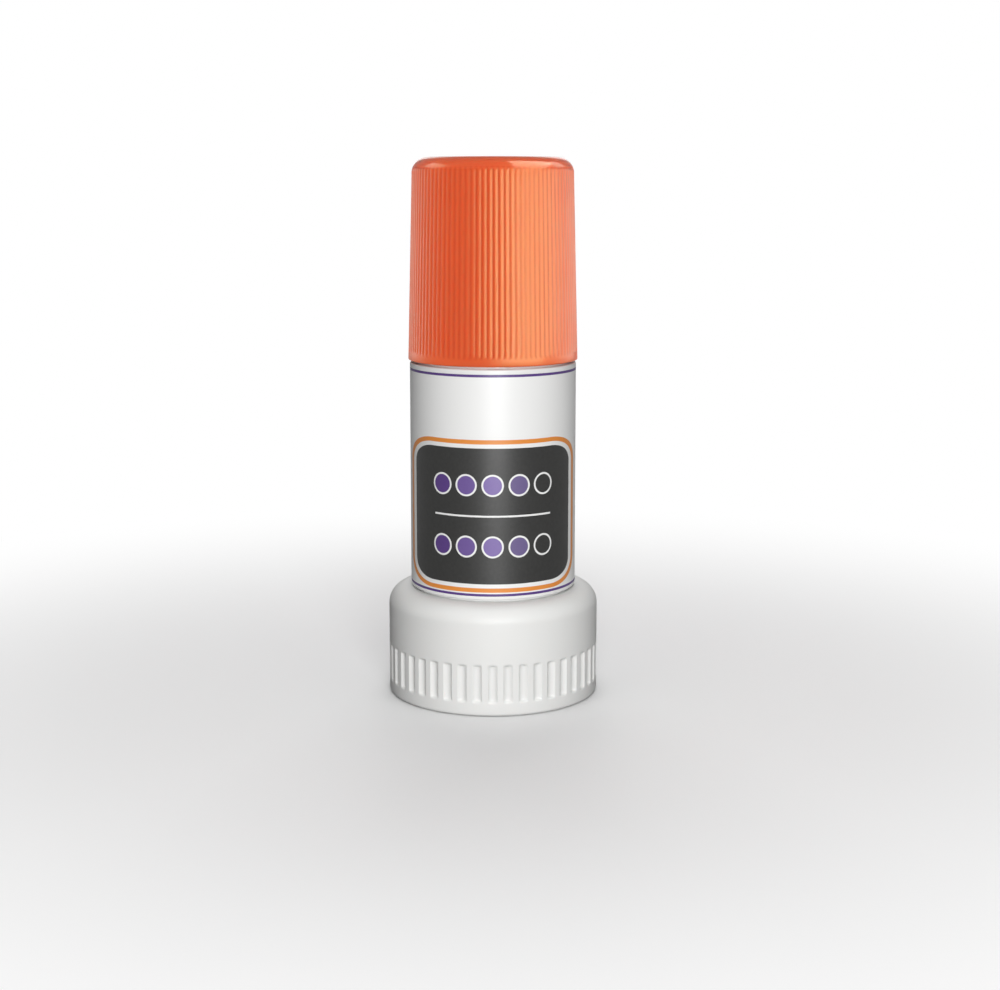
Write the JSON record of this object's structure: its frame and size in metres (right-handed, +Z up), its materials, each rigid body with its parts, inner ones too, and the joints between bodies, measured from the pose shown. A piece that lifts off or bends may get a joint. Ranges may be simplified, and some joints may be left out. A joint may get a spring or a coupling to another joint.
{
  "type": "glue stick",
  "caption": "Twist-up glue stick with a ribbed push-on cap, a wrapped cylindrical barrel and a wide round twist base that raises the glue.",
  "frame": {"origin": "centre of the foot, on the surface that the stick stands on", "axes": "+Z up along the stick's axis, from the twist base to the cap; -Y towards the front of the label, whose seam is at +Y"},
  "size_m": [0.035, 0.035, 0.089],
  "materials": {
    "barrel_plastic": "white moulded plastic, softly glossy",
    "label_film": "printed film, glossy",
    "cap_plastic": "translucent orange moulded plastic, glossy",
    "knob_plastic": "white moulded plastic, satin",
    "mechanism_plastic": "natural white moulded plastic",
    "glue": "waxy purple stick glue"
  },
  "bodies": {
    "barrel": {"barrel": "barrel_plastic", "wrap_label": "label_film"},
    "knob": {"twist_knob": "knob_plastic", "screw_spindle": "mechanism_plastic"},
    "carrier": {"glue_carrier": "mechanism_plastic", "glue_column": "glue"},
    "cap": {"cap": "cap_plastic"}
  },
  "joints": [
    {"name": "knob_twist", "type": "hinge", "parent": "barrel", "child": "knob", "pos_m": [0, 0, 0], "axis": [0, 0, -1], "range_deg": [0, 2700]},
    {"name": "carrier_lift", "type": "slide", "parent": "barrel", "child": "carrier", "axis": [0, 0, 1], "range_m": [0, 0.0451]},
    {"name": "cap_pull", "type": "slide", "parent": "carrier", "child": "cap", "axis": [0, 0, 1], "range_m": [0, 0.04]}
  ],
  "couplings": [
    {"joint": "carrier_lift", "follows": "knob_twist", "m_per_rad": 0.00095493}
  ]
}
